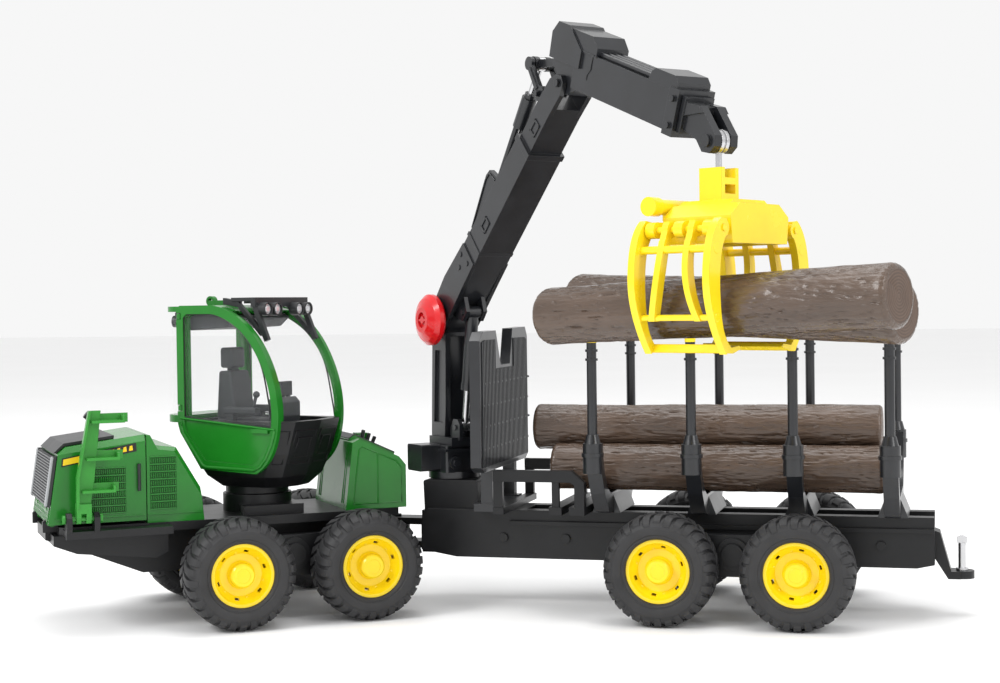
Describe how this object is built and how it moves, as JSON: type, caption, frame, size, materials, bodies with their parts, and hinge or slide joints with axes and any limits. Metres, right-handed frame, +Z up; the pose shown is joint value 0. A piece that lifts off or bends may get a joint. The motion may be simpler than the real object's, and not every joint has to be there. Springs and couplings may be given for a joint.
{
  "type": "toy forestry forwarder",
  "caption": "Articulated eight-wheel toy log carrier with a slewing cab, opening hood, knob-raised crane, log grapple and a stake bunk holding logs.",
  "frame": {"origin": "middle of the model's footprint, on the ground", "axes": "+X along the rear section towards the tow hitch, +Z up, +Y to the vehicle's right-hand side of the rear section"},
  "size_m": [0.6374, 0.4, 0.39],
  "materials": {
    "tyre_black": "matt, smooth sidewall",
    "rim_yellow": "glossy moulded",
    "chassis_black": "satin moulded",
    "body_green": "glossy moulded",
    "ladder_green": "glossy moulded",
    "trim_grey": "satin moulded",
    "seat_grey": "matt moulded",
    "clear_glazing": "clear moulded plastic",
    "crane_black": "satin moulded",
    "knob_red": "glossy moulded",
    "rod_steel": "polished",
    "grapple_yellow": "glossy moulded",
    "bark_brown": "satin, bark relief"
  },
  "bodies": {
    "wagon": {"rear_frame": "chassis_black", "headboard": "crane_black", "bunk_rail": "chassis_black", "bolsters": "crane_black", "stakes": "crane_black", "stake_caps": "grapple_yellow"},
    "yoke": {"centre_yoke": "chassis_black"},
    "front": {"front_frame": "chassis_black", "engine_block": "trim_grey", "rear_cowl": "body_green", "tail_cover": "body_green"},
    "hood": {"hood": "body_green", "hood_trim": "trim_grey"},
    "ladder": {"boarding_ladder": "ladder_green"},
    "cab": {"cab_tub": "chassis_black", "cab_frame": "body_green", "cab_glazing": "clear_glazing", "cab_interior": "seat_grey", "roof_rack": "trim_grey"},
    "door": {"cab_door": "body_green", "door_window": "clear_glazing"},
    "crane": {"slew_base": "crane_black", "crane_column": "crane_black"},
    "knob": {"height_knob": "knob_red"},
    "boom": {"main_boom": "crane_black"},
    "lift_rod": {"lift_rod": "rod_steel"},
    "lift_cylinder": {"lift_cylinder": "crane_black"},
    "jib": {"jib": "crane_black"},
    "telescope": {"telescope": "crane_black"},
    "fold_cylinder": {"fold_cylinder": "crane_black"},
    "fold_rod": {"fold_rod": "rod_steel"},
    "guide_link": {"guide_link": "crane_black"},
    "coupler_link": {"coupler_link": "crane_black"},
    "tip_link": {"tip_link": "rod_steel"},
    "grapple": {"grapple_frame": "grapple_yellow"},
    "tine_near": {"tine_near": "grapple_yellow"},
    "tine_far": {"tine_far": "grapple_yellow"},
    "held_logs": {"held_logs": "bark_brown"},
    "hitch_pin": {"hitch_pin": "rod_steel"},
    "bunk_logs": {"bunk_logs": "bark_brown"},
    "bogie_front_left": {"bogie_front_left": "chassis_black"},
    "wheel_front_left_a": {"tyre_front_left_a": "tyre_black", "rim_front_left_a": "rim_yellow"},
    "wheel_front_left_b": {"tyre_front_left_b": "tyre_black", "rim_front_left_b": "rim_yellow"},
    "bogie_front_right": {"bogie_front_right": "chassis_black"},
    "wheel_front_right_a": {"tyre_front_right_a": "tyre_black", "rim_front_right_a": "rim_yellow"},
    "wheel_front_right_b": {"tyre_front_right_b": "tyre_black", "rim_front_right_b": "rim_yellow"},
    "bogie_rear_left": {"bogie_rear_left": "chassis_black"},
    "wheel_rear_left_a": {"tyre_rear_left_a": "tyre_black", "rim_rear_left_a": "rim_yellow"},
    "wheel_rear_left_b": {"tyre_rear_left_b": "tyre_black", "rim_rear_left_b": "rim_yellow"},
    "bogie_rear_right": {"bogie_rear_right": "chassis_black"},
    "wheel_rear_right_a": {"tyre_rear_right_a": "tyre_black", "rim_rear_right_a": "rim_yellow"},
    "wheel_rear_right_b": {"tyre_rear_right_b": "tyre_black", "rim_rear_right_b": "rim_yellow"}
  },
  "joints": [
    {"name": "centre_steer", "type": "hinge", "parent": "wagon", "child": "yoke", "pos_m": [-0.08753, 0.10897, 0.048], "axis": [0, 0, 1], "range_deg": [-77, 3]},
    {"name": "centre_roll", "type": "hinge", "parent": "yoke", "child": "front", "pos_m": [-0.1035, 0.09694, 0.048], "axis": [0.7986, 0.6018, 0], "range_deg": [-10, 10]},
    {"name": "bogie_front_left_rock", "type": "hinge", "parent": "front", "child": "bogie_front_left", "pos_m": [-0.13268, 0.01735, 0.044], "axis": [-0.6018, 0.7986, 0], "range_deg": [-8, 8]},
    {"name": "wheel_front_left_a_spin", "type": "hinge", "parent": "bogie_front_left", "child": "wheel_front_left_a", "pos_m": [-0.15228, -0.03059, 0.037], "axis": [-0.6018, 0.7986, 0], "continuous": true},
    {"name": "wheel_front_left_b_spin", "type": "hinge", "parent": "bogie_front_left", "child": "wheel_front_left_b", "pos_m": [-0.0812, 0.02297, 0.037], "axis": [-0.6018, 0.7986, 0], "continuous": true},
    {"name": "bogie_front_right_rock", "type": "hinge", "parent": "front", "child": "bogie_front_right", "pos_m": [-0.18805, 0.09083, 0.044], "axis": [-0.6018, 0.7986, 0], "range_deg": [-8, 8]},
    {"name": "wheel_front_right_a_spin", "type": "hinge", "parent": "bogie_front_right", "child": "wheel_front_right_a", "pos_m": [-0.23954, 0.08521, 0.037], "axis": [-0.6018, 0.7986, 0], "continuous": true},
    {"name": "wheel_front_right_b_spin", "type": "hinge", "parent": "bogie_front_right", "child": "wheel_front_right_b", "pos_m": [-0.16846, 0.13877, 0.037], "axis": [-0.6018, 0.7986, 0], "continuous": true},
    {"name": "bogie_rear_left_rock", "type": "hinge", "parent": "wagon", "child": "bogie_rear_left", "pos_m": [0.16367, 0.06297, 0.044], "axis": [0, 1, 0], "range_deg": [-8, 8]},
    {"name": "wheel_rear_left_a_spin", "type": "hinge", "parent": "bogie_rear_left", "child": "wheel_rear_left_a", "pos_m": [0.11917, 0.03647, 0.037], "axis": [0, 1, 0], "continuous": true},
    {"name": "wheel_rear_left_b_spin", "type": "hinge", "parent": "bogie_rear_left", "child": "wheel_rear_left_b", "pos_m": [0.20817, 0.03647, 0.037], "axis": [0, 1, 0], "continuous": true},
    {"name": "bogie_rear_right_rock", "type": "hinge", "parent": "wagon", "child": "bogie_rear_right", "pos_m": [0.16367, 0.15497, 0.044], "axis": [0, 1, 0], "range_deg": [-8, 8]},
    {"name": "wheel_rear_right_a_spin", "type": "hinge", "parent": "bogie_rear_right", "child": "wheel_rear_right_a", "pos_m": [0.11917, 0.18147, 0.037], "axis": [0, 1, 0], "continuous": true},
    {"name": "wheel_rear_right_b_spin", "type": "hinge", "parent": "bogie_rear_right", "child": "wheel_rear_right_b", "pos_m": [0.20817, 0.18147, 0.037], "axis": [0, 1, 0], "continuous": true},
    {"name": "cab_slew", "type": "hinge", "parent": "front", "child": "cab", "pos_m": [-0.17075, 0.04626, 0.08], "axis": [0, 0, 1], "continuous": true},
    {"name": "cab_door_swing", "type": "hinge", "parent": "cab", "child": "door", "pos_m": [-0.21627, 0.02088, 0.17], "axis": [0, 0, -1], "range_deg": [0, 30]},
    {"name": "hood_tilt", "type": "hinge", "parent": "front", "child": "hood", "pos_m": [-0.28695, -0.0413, 0.0715], "axis": [0.6018, -0.7986, 0], "range_deg": [0, 55]},
    {"name": "ladder_fold", "type": "hinge", "parent": "front", "child": "ladder", "pos_m": [-0.23947, -0.07689, 0.077], "axis": [0.7986, 0.6018, 0], "range_deg": [0, 110]},
    {"name": "crane_slew", "type": "hinge", "parent": "wagon", "child": "crane", "pos_m": [-0.04333, 0.10897, 0.09], "axis": [0, 0, 1], "range_deg": [-75, 12]},
    {"name": "boom_lift", "type": "hinge", "parent": "crane", "child": "boom", "pos_m": [-0.04192, 0.10756, 0.202], "axis": [-0.7071, -0.7071, 0], "range_deg": [-20, 15]},
    {"name": "height_knob_turn", "type": "hinge", "parent": "crane", "child": "knob", "pos_m": [-0.05606, 0.09342, 0.202], "axis": [-0.7071, -0.7071, 0], "range_deg": [-60, 45]},
    {"name": "lift_rod_lean", "type": "hinge", "parent": "crane", "child": "lift_rod", "pos_m": [-0.03202, 0.09766, 0.125], "axis": [-0.7071, -0.7071, 0], "range_deg": [-2, 1.5]},
    {"name": "lift_cylinder_stroke", "type": "slide", "parent": "lift_rod", "child": "lift_cylinder", "axis": [0.1175, -0.1175, 0.9861], "range_m": [-0.0093, 0.00698]},
    {"name": "jib_fold", "type": "hinge", "parent": "boom", "child": "jib", "pos_m": [0.074, -0.00836, 0.3517], "axis": [-0.7071, -0.7071, 0], "range_deg": [-35, 20]},
    {"name": "fold_cylinder_lean", "type": "hinge", "parent": "boom", "child": "fold_cylinder", "pos_m": [0.00542, 0.06022, 0.28886], "axis": [-0.7071, -0.7071, 0], "range_deg": [-2.8, 1.6]},
    {"name": "fold_rod_stroke", "type": "slide", "parent": "fold_cylinder", "child": "fold_rod", "axis": [0.4123, -0.4123, 0.8124], "range_m": [-0.0052, 0.0091]},
    {"name": "guide_link_swing", "type": "hinge", "parent": "boom", "child": "guide_link", "pos_m": [0.05517, 0.01047, 0.34823], "axis": [-0.7071, -0.7071, 0], "range_deg": [-23.8, 13.6]},
    {"name": "coupler_link_swing", "type": "hinge", "parent": "jib", "child": "coupler_link", "pos_m": [0.06803, -0.00238, 0.36648], "axis": [-0.7071, -0.7071, 0], "range_deg": [-19.6, 34.3]},
    {"name": "telescope_slide", "type": "slide", "parent": "jib", "child": "telescope", "axis": [0.6645, -0.6645, -0.342], "range_m": [0, 0.045]},
    {"name": "tip_link_swing", "type": "hinge", "parent": "telescope", "child": "tip_link", "pos_m": [0.17996, -0.11431, 0.30141], "axis": [-0.7071, -0.7071, 0], "range_deg": [-15, 30]},
    {"name": "grapple_spin", "type": "hinge", "parent": "tip_link", "child": "grapple", "pos_m": [0.17996, -0.11431, 0.27641], "axis": [0, 0, 1], "continuous": true},
    {"name": "tine_near_open", "type": "hinge", "parent": "grapple", "child": "tine_near", "pos_m": [0.16384, -0.14594, 0.25141], "axis": [-0.891, 0.454, 0], "range_deg": [0, 42]},
    {"name": "tine_far_open", "type": "hinge", "parent": "grapple", "child": "tine_far", "pos_m": [0.19607, -0.08268, 0.25141], "axis": [0.891, -0.454, 0], "range_deg": [0, 42]},
    {"name": "held_logs_slide", "type": "slide", "parent": "grapple", "child": "held_logs", "axis": [0.891, -0.454, 0], "range_m": [-0.02, 0.02]},
    {"name": "hitch_pin_lift", "type": "slide", "parent": "wagon", "child": "hitch_pin", "axis": [0, 0, 1], "range_m": [0, 0.018]},
    {"name": "bunk_logs_lift", "type": "slide", "parent": "wagon", "child": "bunk_logs", "axis": [0, 0, 1], "range_m": [0, 0.055]}
  ],
  "couplings": [
    {"joint": "height_knob_turn", "follows": "boom_lift", "ratio": 3},
    {"joint": "lift_rod_lean", "follows": "boom_lift", "ratio": 0.1},
    {"joint": "lift_cylinder_stroke", "follows": "boom_lift", "m_per_rad": 0.026642},
    {"joint": "fold_cylinder_lean", "follows": "jib_fold", "ratio": 0.08},
    {"joint": "fold_rod_stroke", "follows": "jib_fold", "m_per_rad": -0.014897},
    {"joint": "guide_link_swing", "follows": "jib_fold", "ratio": 0.68},
    {"joint": "coupler_link_swing", "follows": "jib_fold", "ratio": -0.98},
    {"joint": "tine_far_open", "follows": "tine_near_open", "ratio": 1}
  ]
}
